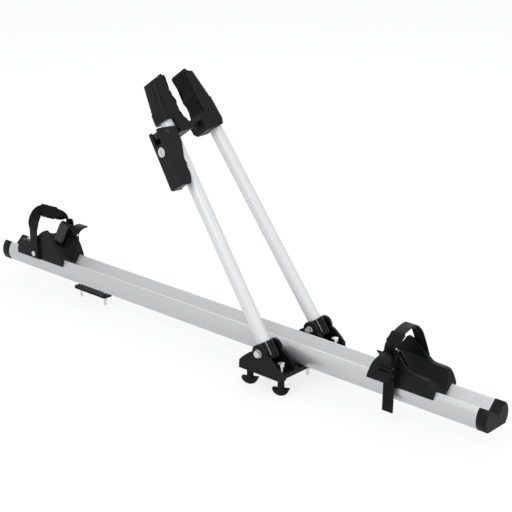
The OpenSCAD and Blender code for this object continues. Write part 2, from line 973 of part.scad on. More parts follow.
module trough_outline() {
    shoulder = low_height;
    polygon([[-trough_floor_half, trough_floor], [trough_floor_half, trough_floor], [trough_half - 4, shoulder],
        [trough_half, shoulder + 8], [trough_half, cheek_peak + 20], [-trough_half, cheek_peak + 20],
        [-trough_half, shoulder + 8], [4 - trough_half, shoulder]]);
}

chock_bolt_place = -34;
chock_bolt_head = groove_floor - slot_lip - 0.4;

module chock() {
    boss = 3;
    difference() {
        union() {
            along_y(0, holder_half - boss)
                anchor_outline();
            along_y(-holder_half + boss, holder_half - boss)
                ratchet_outline();
            along_y(holder_half - boss - cut, boss + cut)
                intersection() {
                    anchor_outline();
                    translate([-4, skirt_level])
                        square([holder_end + 4, cheek_peak - skirt_level - 30]);
                }
            along_y(-holder_half, boss + cut)
                translate([-ratchet_place, skirt_level])
                    translate([-ratchet_half - 3, 0])
                        square([2 * ratchet_half + 6, ratchet_bottom + ratchet_height - skirt_level - 8]);
        }
        along_x(-holder_length, 2 * holder_length)
            trough_outline();
        along_x(-holder_length, 2 * holder_length)
            difference() {
                rail_outline(seat_gap);
                groove_outline(-seat_gap / cos(groove_angle));
            }
        translate([chock_bolt_place, 0, 0])
            cylinder(h = 2 * rail_height, r = screw_radius + run_gap);
        translate([anchor_place, 0, anchor_level])
            rod_y(holder_half - anchor_depth, holder_half, screw_radius + pin_play);
        translate([-ratchet_place, 0, ratchet_screw_level]) {
            rod_y(-2 * holder_half, 2 * holder_half, screw_radius + pin_play);
            rod_y(-trough_half, trough_half, m6_flat / 2 + 1.6);
        }
    }
}

anchor_level = rail_height + 1;
anchor_depth = 7;
ratchet_screw_level = ratchet_bottom + 14.5;

module chock_bolt() {
    head = channel_width - 0.8;
    translate([chock_bolt_place, 0, chock_bolt_head - 4])
        linear_extrude(4)
            square(head, center = true);
    translate([chock_bolt_place, 0, chock_bolt_head - cut])
        cylinder(h = trough_floor + m6_nut + 3 - chock_bolt_head + cut, r = screw_radius);
}

module chock_nut() {
    translate([chock_bolt_place, 0, trough_floor])
        difference() {
            hexagon(m6_flat, m6_nut);
            translate([0, 0, -cut])
                cylinder(h = m6_nut + 2 * cut, r = screw_radius + pin_play);
        }
}

strap_spring = cheek_peak - 6;
anchor_side = holder_half + strap_thickness / 2 + 0.05;

// Course of a strap: up from its anchor, over the wheel, down through the ratchet
function strap_knots(top, skew) = [[anchor_place, anchor_side, skirt_level + 2],
    [anchor_place, anchor_side, low_height], [anchor_place, anchor_side, strap_spring],
    [anchor_place - 2, anchor_side - 4, top - 27 + 0.8 * skew], [anchor_place - 6, anchor_side - 20, top - 4 + 0.5 * skew],
    [anchor_place - 11, 0, top], [anchor_place - 17, -22, top - 9 - 0.5 * skew],
    [3 - ratchet_place, -38, top - 29 - 0.6 * skew],
    [-ratchet_place, -strap_lift, cheek_peak + 1], [-ratchet_place, -strap_lift, ratchet_bottom + 26],
    [-ratchet_place, -strap_lift, ratchet_bottom], [-ratchet_place, -strap_lift, 20],
    [-ratchet_place, -strap_lift - 1, tail_level]];
function strap_lean_at(level) = max(0, level - strap_spring) * min(1, max(0, level - strap_spring) / 40);
function strap_course(side) = let (lean = side < 0 ? left_strap_lean : right_strap_lean)
    [for (p = smooth(side < 0 ? strap_knots(left_strap_top, left_strap_skew)
            : strap_knots(right_strap_top, right_strap_skew), 5))
        [p[0] - tan(lean) * strap_lean_at(p[2]), p[1], p[2]]];
function strap_across(side) = let (lean = side < 0 ? left_strap_lean : right_strap_lean)
    [cos(lean), 0, sin(lean)];

module strap(side) {
    difference() {
        band(strap_course(side), strap_width, strap_thickness, strap_across(side));
        translate([anchor_place, 0, anchor_level])
            rod_y(0, 2 * holder_half, screw_radius + pin_play);
    }
}

// Sleeve that keeps the strap off the wheel rim
module rim_pad(side, first, last) {
    course = strap_course(side);
    path = [for (i = [first : last]) course[i]];
    inner = [for (i = [first - 1 : last + 1]) course[i]];
    difference() {
        band(path, strap_width + 2 * (pad_wall + pin_play), strap_thickness + 2 * (pad_wall + pin_play),
            strap_across(side));
        band(inner, strap_width + 2 * pin_play, strap_thickness + 2 * pin_play, strap_across(side));
    }
}

module anchor_screw() {
    head = anchor_side + strap_thickness / 2 + 0.05;
    translate([anchor_place, 0, anchor_level]) {
        rod_y(holder_half - anchor_depth, head - holder_half + anchor_depth + cut, screw_radius);
        rod_y(head, 3, screw_radius + 3);
    }
}

module ratchet_screw() {
    seat = holder_half + ratchet_wall;
    translate([-ratchet_place, 0, ratchet_screw_level]) {
        rod_y(-seat + 0.1, seat - trough_half + 3, screw_radius);
        translate([0, -trough_half + 0.1, 0])
            rotate([-90, 0, 0])
                hexagon(m6_flat, 3);
    }
}

// Ratchet frame: a back plate and two ears that carry the pins
module ear_outline() {
    out = ratchet_pin_out + 5;
    polygon([[-holder_half - 0.1, ratchet_bottom], [-out + 6, ratchet_bottom], [-out, ratchet_bottom + 5],
        [-out, lever_pin_level + 4], [-out + 4, lever_pin_level + 9], [-strap_lift - 4, ratchet_bottom + ratchet_height - 6],
        [-strap_lift, ratchet_bottom + ratchet_height], [-holder_half - 0.1, ratchet_bottom + ratchet_height]]);
}

module ratchet_frame() {
    width = 2 * (ratchet_half + ratchet_wall);
    difference() {
        translate([-ratchet_place, 0, 0])
            difference() {
                along_x(-width / 2, width)
                    ear_outline();
                translate([-ratchet_half, -4 * holder_half - ratchet_wall, 0])
                    cube([2 * ratchet_half, 3 * holder_half, 2 * cheek_peak]);
                for (level = [lever_pin_level, release_pin_level])
                    translate([0, -ratchet_pin_out, level])
                        rod_x(2 * width, ratchet_pin_radius + pin_play);
            }
        translate([-ratchet_place, 0, ratchet_screw_level])
            rod_y(-2 * holder_half, 2 * holder_half, screw_radius + pin_play);
    }
}

module ratchet_pin(level) {
    translate([-ratchet_place, -ratchet_pin_out, level])
        rod_x(2 * (ratchet_half + ratchet_wall) + 2, ratchet_pin_radius);
}

drive_radius = ratchet_pin_out - strap_lift - strap_thickness / 2 - run_gap;

// Drive wheel of the lever: a hub with slanted teeth
module drive_outline() {
    teeth = 9;
    pitch = 360 / teeth;
    root = drive_radius - 1.8;
    polygon([for (i = [0 : teeth - 1])
        each [drive_radius * [cos(i * pitch), sin(i * pitch)],
            root * [cos((i + 0.2) * pitch), sin((i + 0.2) * pitch)],
            root * [cos((i + 0.6) * pitch), sin((i + 0.6) * pitch)]]]);
}

module ratchet_lever(opening) {
    reach = 28;
    handle = smooth([[2, 3], [3.4, 12], [2.6, 20], [-2, reach], [-9, reach + 7], [-11, reach + 5], [-6, reach - 2],
        [-3, 18], [-2.6, 11], [-3.6, 4]], 4);
    translate([-ratchet_place, -ratchet_pin_out, lever_pin_level])
        rotate([opening, 0, 0])
            difference() {
                along_x(-ratchet_half + run_gap, 2 * (ratchet_half - run_gap))
                    union() {
                        drive_outline();
                        polygon(handle);
                    }
                rod_x(3 * ratchet_half, ratchet_pin_radius + pin_play);
            }
}

module release_tab() {
    outline = smooth([[1, 3.4], [-2.4, 4.6], [-4.6, 2], [-5.5, -4], [-7.5, -9], [-9.5, -11], [-8, -12.5], [-4.5, -10],
        [-1, -4.6], [2.6, -3.4]], 4);
    translate([-ratchet_place, -ratchet_pin_out, release_pin_level])
        difference() {
            along_x(-ratchet_half + run_gap, 2 * (ratchet_half - run_gap))
                union() {
                    circle(r = ratchet_pin_radius + 1.8);
                    polygon(outline);
                }
            rod_x(3 * ratchet_half, ratchet_pin_radius + pin_play);
        }
}

// Bent flap that lies between the strap and the rim
module rim_tongue() {
    start = ratchet_bottom + ratchet_height;
    path = smooth([[-ratchet_place - 2, -holder_half - ratchet_wall / 2, start + 0.5],
        [-ratchet_place - 2, -holder_half + 1, start + 7], [-ratchet_place, -holder_half + 9, start + 5],
        [-ratchet_place + 7, -holder_half + 16, start - 9], [-ratchet_place + 14, -holder_half + 24, start - 27],
        [-ratchet_place + 18, -holder_half + 27, start - 38], [-ratchet_place + 19, -holder_half + 24, start - 44]], 4);
    band(path, strap_width - 2, 2, [1, 0, 0.1]);
}

module left_chock() { color(black) holder_frame(-1) chock(); }
module left_chock_bolt() { color(zinc) holder_frame(-1) chock_bolt(); }
module left_chock_nut() { color(zinc) holder_frame(-1) chock_nut(); }
module left_strap() { color(black) holder_frame(-1) strap(-1); }
module left_rim_pad() { color(rubber) holder_frame(-1) rim_pad(-1, 19, 29); }
module left_anchor_screw() { color(zinc) holder_frame(-1) anchor_screw(); }
module left_ratchet_frame() { color(black) holder_frame(-1) ratchet_frame(); }
module left_ratchet_screw() { color(zinc) holder_frame(-1) ratchet_screw(); }
module left_ratchet_lever() { color(black) holder_frame(-1) ratchet_lever(left_lever_open); }
module left_lever_pin() { color(zinc) holder_frame(-1) ratchet_pin(lever_pin_level); }
module left_release_tab() { color(black) holder_frame(-1) release_tab(); }
module left_release_pin() { color(zinc) holder_frame(-1) ratchet_pin(release_pin_level); }
module left_rim_tongue() { color(rubber) holder_frame(-1) rim_tongue(); }
module right_chock() { color(black) holder_frame(1) chock(); }
module right_chock_bolt() { color(zinc) holder_frame(1) chock_bolt(); }
module right_chock_nut() { color(zinc) holder_frame(1) chock_nut(); }
module right_strap() { color(black) holder_frame(1) strap(1); }
module right_rim_pad() { color(rubber) holder_frame(1) rim_pad(1, 28, 36); }
module right_anchor_screw() { color(zinc) holder_frame(1) anchor_screw(); }
module right_ratchet_frame() { color(black) holder_frame(1) ratchet_frame(); }
module right_ratchet_screw() { color(zinc) holder_frame(1) ratchet_screw(); }
module right_ratchet_lever() { color(black) holder_frame(1) ratchet_lever(right_lever_open); }
module right_lever_pin() { color(zinc) holder_frame(1) ratchet_pin(lever_pin_level); }
module right_release_tab() { color(black) holder_frame(1) release_tab(); }
module right_release_pin() { color(zinc) holder_frame(1) ratchet_pin(release_pin_level); }
module right_rim_tongue() { color(rubber) holder_frame(1) rim_tongue(); }

wheel_rail();
left_end_cap();
right_end_cap();
base_bracket();
rail_bolts();
rail_nuts();
bar_bolts();
near_left_knob();
near_right_knob();
far_left_knob();
far_right_knob();
near_pivot_bolt();
far_pivot_bolt();
near_pivot_nut();
far_pivot_nut();
near_arm_foot();
far_arm_foot();
near_arm_tube();
far_arm_tube();
near_jaw();
far_jaw();
near_jaw_grip();
far_jaw_grip();
clamp_rod();
rod_lock_nut();
rod_end_nuts();
lever_barrel();
clamp_lever();
lock_housing();
lock_plug();
rear_studs();
rear_plate();
left_chock();
left_chock_bolt();
left_chock_nut();
left_strap();
left_rim_pad();
left_anchor_screw();
left_ratchet_frame();
left_ratchet_screw();
left_ratchet_lever();
left_lever_pin();
left_release_tab();
left_release_pin();
left_rim_tongue();
right_chock();
right_chock_bolt();
right_chock_nut();
right_strap();
right_rim_pad();
right_anchor_screw();
right_ratchet_frame();
right_ratchet_screw();
right_ratchet_lever();
right_lever_pin();
right_release_tab();
right_release_pin();
right_rim_tongue();
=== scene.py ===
import json
import math

import bmesh
import bpy
from mathutils import Matrix, Vector


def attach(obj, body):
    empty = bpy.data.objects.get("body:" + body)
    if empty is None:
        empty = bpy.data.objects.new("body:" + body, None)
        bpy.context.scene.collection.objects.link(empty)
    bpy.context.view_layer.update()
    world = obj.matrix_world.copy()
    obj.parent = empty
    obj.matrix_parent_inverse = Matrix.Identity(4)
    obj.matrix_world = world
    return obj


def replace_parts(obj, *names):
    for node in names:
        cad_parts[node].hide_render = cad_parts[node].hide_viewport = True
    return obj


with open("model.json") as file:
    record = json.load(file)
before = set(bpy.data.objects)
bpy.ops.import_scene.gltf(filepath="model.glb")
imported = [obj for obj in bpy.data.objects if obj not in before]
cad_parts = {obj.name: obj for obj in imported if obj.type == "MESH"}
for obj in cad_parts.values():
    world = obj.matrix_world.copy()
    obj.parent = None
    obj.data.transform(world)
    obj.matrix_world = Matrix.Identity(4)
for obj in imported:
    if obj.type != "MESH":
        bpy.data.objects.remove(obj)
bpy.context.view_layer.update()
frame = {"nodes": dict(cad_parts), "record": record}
nodes = frame["nodes"]
mm = 0.001
arm = {"lean": math.radians(35.6), "pivot": 44}
print("frame loaded")


# materials, all on Object coordinates

def startMaterial(name, turn=(0, 0, 0), stretch=(1, 1, 1)):
    mat = bpy.data.materials.new(name)
    mat.use_nodes = True
    tree = mat.node_tree
    shader = tree.nodes["Principled BSDF"]
    coords = tree.nodes.new("ShaderNodeTexCoord")
    turned = tree.nodes.new("ShaderNodeMapping")  # turned before it is stretched
    turned.inputs["Rotation"].default_value = turn
    stretched = tree.nodes.new("ShaderNodeMapping")
    stretched.inputs["Scale"].default_value = stretch
    tree.links.new(coords.outputs["Object"], turned.inputs["Vector"])
    tree.links.new(turned.outputs["Vector"], stretched.inputs["Vector"])
    return mat, tree, shader, stretched.outputs["Vector"]


def addNoise(tree, vector, scale, detail=3.0):
    noise = tree.nodes.new("ShaderNodeTexNoise")
    noise.inputs["Scale"].default_value = scale
    noise.inputs["Detail"].default_value = detail
    noise.inputs["Roughness"].default_value = 0.55
    tree.links.new(vector, noise.inputs["Vector"])
    return noise.outputs["Fac"]


def spread(tree, value, low, high):
    node = tree.nodes.new("ShaderNodeMapRange")
    node.inputs["From Min"].default_value = 0.3
    node.inputs["From Max"].default_value = 0.7
    node.inputs["To Min"].default_value = low
    node.inputs["To Max"].default_value = high
    tree.links.new(value, node.inputs["Value"])
    return node.outputs["Result"]


def tint(tree, value, dark, light):
    ramp = tree.nodes.new("ShaderNodeValToRGB")
    ramp.color_ramp.elements[0].position = 0.3
    ramp.color_ramp.elements[1].position = 0.7
    ramp.color_ramp.elements[0].color = (*dark, 1)
    ramp.color_ramp.elements[1].color = (*light, 1)
    tree.links.new(value, ramp.inputs["Fac"])
    return ramp.outputs["Color"]


def addBump(tree, shader, height, strength, distance):
    bump = tree.nodes.new("ShaderNodeBump")
    bump.inputs["Strength"].default_value = strength
    bump.inputs["Distance"].default_value = distance
    tree.links.new(height, bump.inputs["Height"])
    tree.links.new(bump.outputs["Normal"], shader.inputs["Normal"])


def drawnMetal(name, look):
    mat, tree, shader, vector = startMaterial(name, look.get("turn", (0, 0, 0)), look["stretch"])
    grain = addNoise(tree, vector, look["grain"], 4.0)
    tree.links.new(tint(tree, grain, look["dark"], look["light"]), shader.inputs["Base Color"])
    tree.links.new(spread(tree, grain, *look["rough"]), shader.inputs["Roughness"])
    shader.inputs["Metallic"].default_value = look["metal"]
    addBump(tree, shader, grain, look["bump"], 0.0002)
    return mat


def moulding(name, look):
    mat, tree, shader, vector = startMaterial(name)
    cloud = addNoise(tree, vector, look["cloud"])
    grain = addNoise(tree, vector, look["grain"], 2.0)
    tree.links.new(tint(tree, cloud, look["dark"], look["light"]), shader.inputs["Base Color"])
    tree.links.new(spread(tree, cloud, *look["rough"]), shader.inputs["Roughness"])
    shader.inputs["Specular IOR Level"].default_value = look["specular"]
    addBump(tree, shader, grain, look["bump"], 0.0003)
    return mat


finishes = {
    "rail_aluminium": drawnMetal("railFinish", {
        "dark": (0.50, 0.515, 0.52), "light": (0.55, 0.565, 0.57), "metal": 0.7, "rough": (0.34, 0.44),
        "stretch": (0.01, 1, 1), "grain": 500, "bump": 0.02}),
    "tube_aluminium": drawnMetal("tubeFinish", {
        "dark": (0.60, 0.61, 0.615), "light": (0.63, 0.64, 0.645), "metal": 0.3, "rough": (0.46, 0.50),
        "turn": (0, arm["lean"], 0), "stretch": (1, 1, 0.01), "grain": 260, "bump": 0.01}),
    "black_plastic": moulding("blackMoulding", {
        "dark": (0.0042, 0.0043, 0.0046), "light": (0.0064, 0.0066, 0.007), "rough": (0.36, 0.5),
        "specular": 0.13, "cloud": 35, "grain": 1400, "bump": 0.08}),
    "lever_plastic": moulding("leverMoulding", {
        "dark": (0.0046, 0.006, 0.0072), "light": (0.0066, 0.0082, 0.0098), "rough": (0.32, 0.42),
        "specular": 0.15, "cloud": 40, "grain": 1500, "bump": 0.06}),
    "jaw_rubber": moulding("gripRubber", {
        "dark": (0.003, 0.003, 0.0031), "light": (0.0052, 0.0052, 0.0054), "rough": (0.5, 0.66),
        "specular": 0.12, "cloud": 60, "grain": 900, "bump": 0.12}),
    "strap_plastic": moulding("strapMoulding", {
        "dark": (0.0038, 0.0038, 0.004), "light": (0.006, 0.006, 0.0063), "rough": (0.42, 0.56),
        "specular": 0.13, "cloud": 50, "grain": 1100, "bump": 0.08}),
    "tongue_plastic": moulding("tongueMoulding", {
        "dark": (0.010, 0.010, 0.0105), "light": (0.016, 0.016, 0.0165), "rough": (0.24, 0.34),
        "specular": 0.45, "cloud": 45, "grain": 1300, "bump": 0.05}),
    "zinc_steel": drawnMetal("zincFinish", {
        "dark": (0.58, 0.58, 0.57), "light": (0.72, 0.72, 0.71), "metal": 1.0, "rough": (0.22, 0.36),
        "stretch": (1, 1, 1), "grain": 600, "bump": 0.05}),
    "dark_steel": drawnMetal("darkSteelFinish", {
        "dark": (0.018, 0.018, 0.019), "light": (0.03, 0.03, 0.031), "metal": 0.6, "rough": (0.36, 0.5),
        "stretch": (1, 1, 1), "grain": 700, "bump": 0.05}),
}

slotOf = {s["node"]: s["material_slot"] for s in frame["record"]["subparts"]}
browned = ("clamp_rod", "rod_lock_nut", "rod_end_nuts", "lever_barrel")
for nodeName, obj in nodes.items():
    obj.data.materials.clear()
    obj.data.materials.append(finishes["dark_steel" if nodeName in browned else slotOf[nodeName]])
print("materials on", len(nodes), "nodes")


# tools that all new pieces share

def linkMesh(name, mesh):
    bmesh.ops.recalc_face_normals(mesh, faces=mesh.faces)
    data = bpy.data.meshes.new(name)
    mesh.to_mesh(data)
    mesh.free()
    obj = bpy.data.objects.new(name, data)
    bpy.context.scene.collection.objects.link(obj)
    return obj


def makePiece(name, mesh, body, slotName):
    obj = linkMesh(name, mesh)
    obj.data.materials.append(finishes[slotName])
    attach(obj, body)
    return obj


def roundEdges(obj, width, angle=32):
    bevel = obj.modifiers.new("bevel", "BEVEL")
    bevel.width = width * mm
    bevel.segments = 2
    bevel.limit_method = "ANGLE"
    bevel.angle_limit = math.radians(angle)


def extrudeAlong(loops):
    mesh = bmesh.new()
    start = [mesh.verts.new(p) for p in loops[0]]
    end = mesh.faces.new(start)
    for loop in loops[1:]:
        end = bmesh.ops.extrude_discrete_faces(mesh, faces=[end])["faces"][0]
        for vert, p in zip(end.verts, loop):
            vert.co = p
    mesh.faces.new(start)  # the first extrusion took this face along
    return mesh


def roundRod(radius, low, high, facets):
    mesh = bmesh.new()
    bmesh.ops.create_cone(mesh, cap_ends=True, segments=facets, radius1=radius, radius2=radius,
                          depth=high - low, matrix=Matrix.Translation((0, 0, (low + high) / 2)))
    return mesh


def looseObject(mesh, place):
    bmesh.ops.transform(mesh, matrix=place, verts=mesh.verts)
    bmesh.ops.triangulate(mesh, faces=[f for f in mesh.faces if len(f.verts) > 4])
    return linkMesh("loose", mesh)


def carve(obj, tools):
    for operation, tool in tools:
        step = obj.modifiers.new("carve", "BOOLEAN")
        step.operation = operation
        step.object = tool
        step.solver = "EXACT"
    shaped = bpy.data.meshes.new_from_object(obj.evaluated_get(bpy.context.evaluated_depsgraph_get()))
    mesh = bmesh.new()
    mesh.from_mesh(shaped)
    for loose in [obj] + [tool for operation, tool in tools]:
        bpy.data.objects.remove(loose)
    bmesh.ops.dissolve_limit(mesh, angle_limit=0.002, verts=mesh.verts, edges=mesh.edges)
    bmesh.ops.remove_doubles(mesh, verts=mesh.verts, dist=0.005 * mm)
    return mesh


def smoothCourse(knots, steps):
    points = [Vector(k) for k in knots]
    last = len(points) - 1
    course = []
    for i in range(last):
        a, b, c, d = (points[max(0, min(last, i + k))] for k in (-1, 0, 1, 2))
        for k in range(steps):
            t = k / steps
            course.append(0.5 * (2 * b + (c - a) * t + (2 * a - 5 * b + 4 * c - d) * t * t
                                 + (3 * b - a - 3 * c + d) * t ** 3))
    return course + [points[last]]


def headingAt(course, i):
    return (course[min(len(course) - 1, i + 1)] - course[max(0, i - 1)]).normalized()


def ramp(value, low, high):
    return max(0.0, min(1.0, (value - low) / (high - low)))


# straps over the wheels; the left one turns edge-on on its way

holder = {"half": 38.5, "peak": 103, "low": 63, "skirt": 29, "lift": 43.7, "anchor": 11, "ratchet": 17,
          "bottom": 46, "top": 98, "left": -735, "right": 284, "seat": 9}
strap = {"width": 24, "thick": 3, "border": 3.2, "pitch": 4.2, "rib": 1.7, "depth": 0.9, "tail": -20,
         "turnIn": (10, 20), "turnOut": (29, 36), "ribsFrom": 38, "plainEnd": 12}
arches = {
    "left": {"top": 134, "skew": 8, "shoulder": 12, "twist": 90, "end": 180, "teeth": -1, "pad": (21, 28)},
    "right": {"top": 136, "skew": 0, "shoulder": -16, "twist": 0, "end": 0, "teeth": 1, "pad": (30, 38)},
}


def toRow(side, point):
    u, v, z = point
    if side == "left":
        return Vector((holder["left"] - u, -v, z + holder["seat"])) * mm
    return Vector((holder["right"] + u, v, z + holder["seat"])) * mm


def strapCourse(side):
    arch = arches[side]
    top, skew, shoulder = arch["top"], arch["skew"], arch["shoulder"]
    out = holder["half"] + strap["thick"] / 2 + 0.05
    a, r, lift = holder["anchor"], holder["ratchet"], holder["lift"]
    peak, bottom = holder["peak"], holder["bottom"]
    lean, lowEnd = shoulder - a, 4 - r
    middle = (shoulder + lowEnd) / 2
    rise = [(a, out, holder["skirt"] + 2), (a + 0.28 * lean, out, holder["low"]),
            (a + 0.72 * lean, out, peak - 6), (shoulder, out - 4, top - 16 + 0.5 * skew)]
    crown = [(shoulder, out - 21, top - 1.5 + 0.9 * skew), (middle, 0, top),
             ((middle + lowEnd) / 2, -22, top - 5.5 - 0.6 * skew), (lowEnd, -36, top - 15 - 0.8 * skew)]
    fall = [(-r, -lift, z) for z in (peak + 4, bottom + 26, bottom, 20)]
    return smoothCourse(rise + crown + fall + [(-r, -lift - 1, strap["tail"])], 5)


def strapFrames(side):
    twist, end = arches[side]["twist"], arches[side]["end"]
    course = strapCourse(side)
    level = Vector((1, 0, 0))
    found = []
    for i, p in enumerate(course):
        ahead = headingAt(course, i)
        turn = math.radians(twist * ramp(i, *strap["turnIn"]) + (end - twist) * ramp(i, *strap["turnOut"]))
        across = math.cos(turn) * level + math.sin(turn) * ahead.cross(level)
        sideways = (across - across.dot(ahead) * ahead).normalized()
        found.append((p, sideways, ahead.cross(sideways)))
    return found


def courseLengths(rows):
    lengths = [0]
    for a, b in zip(rows, rows[1:]):
        lengths.append(lengths[-1] + (b[0] - a[0]).length)
    return lengths


def resample(rows, stops):
    lengths = courseLengths(rows)
    found = []
    k = 0
    for s in stops:
        while k < len(rows) - 2 and lengths[k + 1] < s:
            k += 1
        t = (s - lengths[k]) / (lengths[k + 1] - lengths[k])
        p, w, n = (a.lerp(b, t) for a, b in zip(rows[k], rows[k + 1]))
        found.append((p, w.normalized(), n.normalized()))
    return found


def holderPiece(side, ending, rings, slotName):
    mesh = extrudeAlong([[toRow(side, p) for p in reversed(ring)] for ring in rings])
    return makePiece(side + ending, mesh, side + "_holder", slotName)


def ladderStrap(side):
    rows = strapFrames(side)
    teeth = arches[side]["teeth"]
    lengths = courseLengths(rows)
    total = lengths[-1]
    stops = lengths[:strap["ribsFrom"]]
    kinds = [1] * len(stops)
    s = lengths[strap["ribsFrom"]]
    while s < total - strap["plainEnd"]:
        for step, kind in ((0, 1), (strap["rib"], 1), (strap["rib"] + 0.4, 0), (strap["pitch"] - 0.4, 0)):
            stops.append(s + step)
            kinds.append(kind)
        s += strap["pitch"]
    stops += [total - 5, total - 0.8, total]
    kinds += [1, 1, 1]
    half, up = strap["width"] / 2, strap["thick"] / 2
    inner = half - strap["border"]
    rings = []
    for (p, w, n), stop, kind in zip(resample(rows, stops), stops, kinds):
        k = 0.95 if stop == total else 1
        low = up if kind else up - strap["depth"]
        section = [(-half, -up + 0.5), (-half + 0.5, -up), (half - 0.5, -up), (half, -up + 0.5),
                   (half, up - 0.5), (half - 0.5, up), (inner, up), (inner - 0.3, low),
                   (0.3 - inner, low), (-inner, up), (0.5 - half, up), (-half, up - 0.5)]
        rings.append([p + w * x * k + n * y * teeth for x, y in section])
    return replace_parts(holderPiece(side, "LadderStrap", rings, "strap_plastic"), side + "_strap")


# rim pads: sleeves around the straps, with a seam

rimSleeve = {"wall": 2.45, "rows": 26, "facets": 20, "seamAt": 0.38, "seamDepth": 0.7, "endShare": 0.72}


def rimPad(side):
    first, last = arches[side]["pad"]
    rows = strapFrames(side)[first:last + 1]
    total = courseLengths(rows)[-1]
    count, wall = rimSleeve["rows"], rimSleeve["wall"]
    half, up = strap["width"] / 2 + wall, strap["thick"] / 2 + wall
    turns = [math.tau * k / rimSleeve["facets"] for k in range(rimSleeve["facets"])]
    rings = []
    for i, (p, w, n) in enumerate(resample(rows, [total * i / count for i in range(count + 1)])):
        t = i / count
        end = min(1.0, min(t, 1 - t) * 14)
        seam = rimSleeve["seamDepth"] * max(0.0, 1 - abs(t - rimSleeve["seamAt"]) * 22)
        grow = rimSleeve["endShare"] + (1 - rimSleeve["endShare"]) * math.sqrt(max(0.0, 1 - (1 - end) ** 2))
        hx, hy = half - (1 - grow) * 4 - seam, up * grow - seam
        section = [(hx * math.copysign(abs(math.cos(a)) ** 0.25, math.cos(a)),
                    hy * math.copysign(abs(math.sin(a)) ** 0.35, math.sin(a))) for a in turns]
        rings.append([p + w * x + n * y for x, y in section])
    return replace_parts(holderPiece(side, "RimPadSleeve", rings, "jaw_rubber"), side + "_rim_pad")


# tongues that reach from the ratchets over the wheel rim

tongue = {"half": 15, "tilt": 0.1, "tipFrom": 0.86,
          "bends": [(1, -1, 1.2), (1, 2, 4), (2, 8.5, 0.5), (4, 15, -12), (6, 22, -28), (8, 26, -38),
                    (9, 24, -46)]}


def rimTongue(side):
    r, h, top, tipFrom = holder["ratchet"], holder["half"], holder["top"], tongue["tipFrom"]
    course = smoothCourse([(x - r, y - h, top + z) for x, y, z in tongue["bends"]], 8)
    across = Vector((1, 0, tongue["tilt"]))
    rings = []
    for i, p in enumerate(course):
        ahead = headingAt(course, i)
        w = (across - across.dot(ahead) * ahead).normalized()
        n = ahead.cross(w)
        tip = ramp(i / (len(course) - 1), tipFrom, 1)
        half = tongue["half"] * math.sqrt(max(0.1, 1 - tip ** 2))
        section = [(-half, -0.5), (-half + 0.6, -1), (-half * 0.5, -1), (0, -0.7), (half * 0.5, -1),
                   (half - 0.6, -1), (half, -0.5), (half, 0.5), (half - 0.6, 1), (half * 0.5, 1), (0, 1.3),
                   (-half * 0.5, 1), (0.6 - half, 1), (-half, 0.5)]
        rings.append([p + w * x + n * y for x, y in section])
    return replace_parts(holderPiece(side, "BentTongue", rings, "tongue_plastic"), side + "_rim_tongue")


for side in ("left", "right"):
    ladderStrap(side)
    rimPad(side)
    rimTongue(side)
print("straps, pads and tongues made")


# rubber grips of the jaws: waved face, notches along the front of the root

grip = {"low": 487, "high": 581, "root": 31, "thick": 7, "back": -19, "step": 13, "front": 18.6,
        "round": 0.4, "notches": 6, "notchFrom": 0.3, "notchTo": 0.72,
        "wave": [(0, 0.5), (0.06, 1.4), (0.09, 2.6), (0.115, 1.6), (0.14, 3.9), (0.165, 4.4), (0.19, 3.2),
                 (0.215, 5.2), (0.25, 5.3), (0.32, 3), (0.39, 0.4), (0.46, 2.3), (0.54, 4.6), (0.64, 5.3),
                 (0.745, 3), (0.88, 1), (0.957, 0.2), (1, 2)]}


def armSpace(side):
    return (Matrix.Scale(mm, 4) @ Matrix.Translation((0, 0, arm["pivot"]))
            @ Matrix.Rotation(-arm["lean"], 4, "Y") @ Matrix.Diagonal((1, side, 1, 1)))


def toArm(side, x, y, z):
    c, s = math.cos(arm["lean"]), math.sin(arm["lean"])
    return Vector((x * c - z * s, side * y, x * s + z * c + arm["pivot"])) * mm


def wavedGrip(name, side):
    low, rise, root = grip["low"], grip["high"] - grip["low"], grip["root"]
    tip, middle, pitch = root - grip["thick"], root - grip["thick"] / 2, rise / grip["notches"]
    face = smoothCourse([(tip + y, low + t * rise, 0) for t, y in grip["wave"]], 3)[::-1]
    levels = [low + (i + end) * pitch for i in range(grip["notches"])
              for end in (grip["notchFrom"], grip["notchTo"])]
    edge = [(root, z) for z in [low] + levels + [low + rise]]
    outline = edge + [(p.x, p.y) for p in face]
    mesh = bmesh.new()
    back, step, front = ([mesh.verts.new(toArm(side, grip[k], y, z)) for y, z in outline]
                         for k in ("back", "step", "front"))
    inner = {k: [mesh.verts.new(toArm(side, grip[k], middle, z)) for z in levels] for k in ("step", "front")}
    mesh.faces.new(back)
    rim = []
    for i in range(len(outline)):
        j = (i + 1) % len(outline)
        mesh.faces.new((back[i], back[j], step[j], step[i]))
        rim.append(front[i])
        if i < len(edge) - 1 and i % 2 == 1:  # a notch
            a, b = inner["step"][i - 1:i + 1]
            c, d = inner["front"][i - 1:i + 1]
            mesh.faces.new((step[i], a, b, step[j]))
            mesh.faces.new((step[i], front[i], c, a))
            mesh.faces.new((a, c, d, b))
            mesh.faces.new((b, d, front[j], step[j]))
            rim += [c, d]
        else:
            mesh.faces.new((step[i], step[j], front[j], front[i]))
    mesh.faces.new(rim)
    bmesh.ops.triangulate(mesh, faces=[f for f in mesh.faces if len(f.verts) > 4])
    obj = makePiece(name + "WavedGrip", mesh, name + "_arm", "jaw_rubber")
    roundEdges(obj, grip["round"], 40)
    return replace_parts(obj, name + "_jaw_grip")


wavedGrip("near", -1)
wavedGrip("far", 1)
print("grips made")


# jaws with a crest over the grip, bored for the tube and the rod

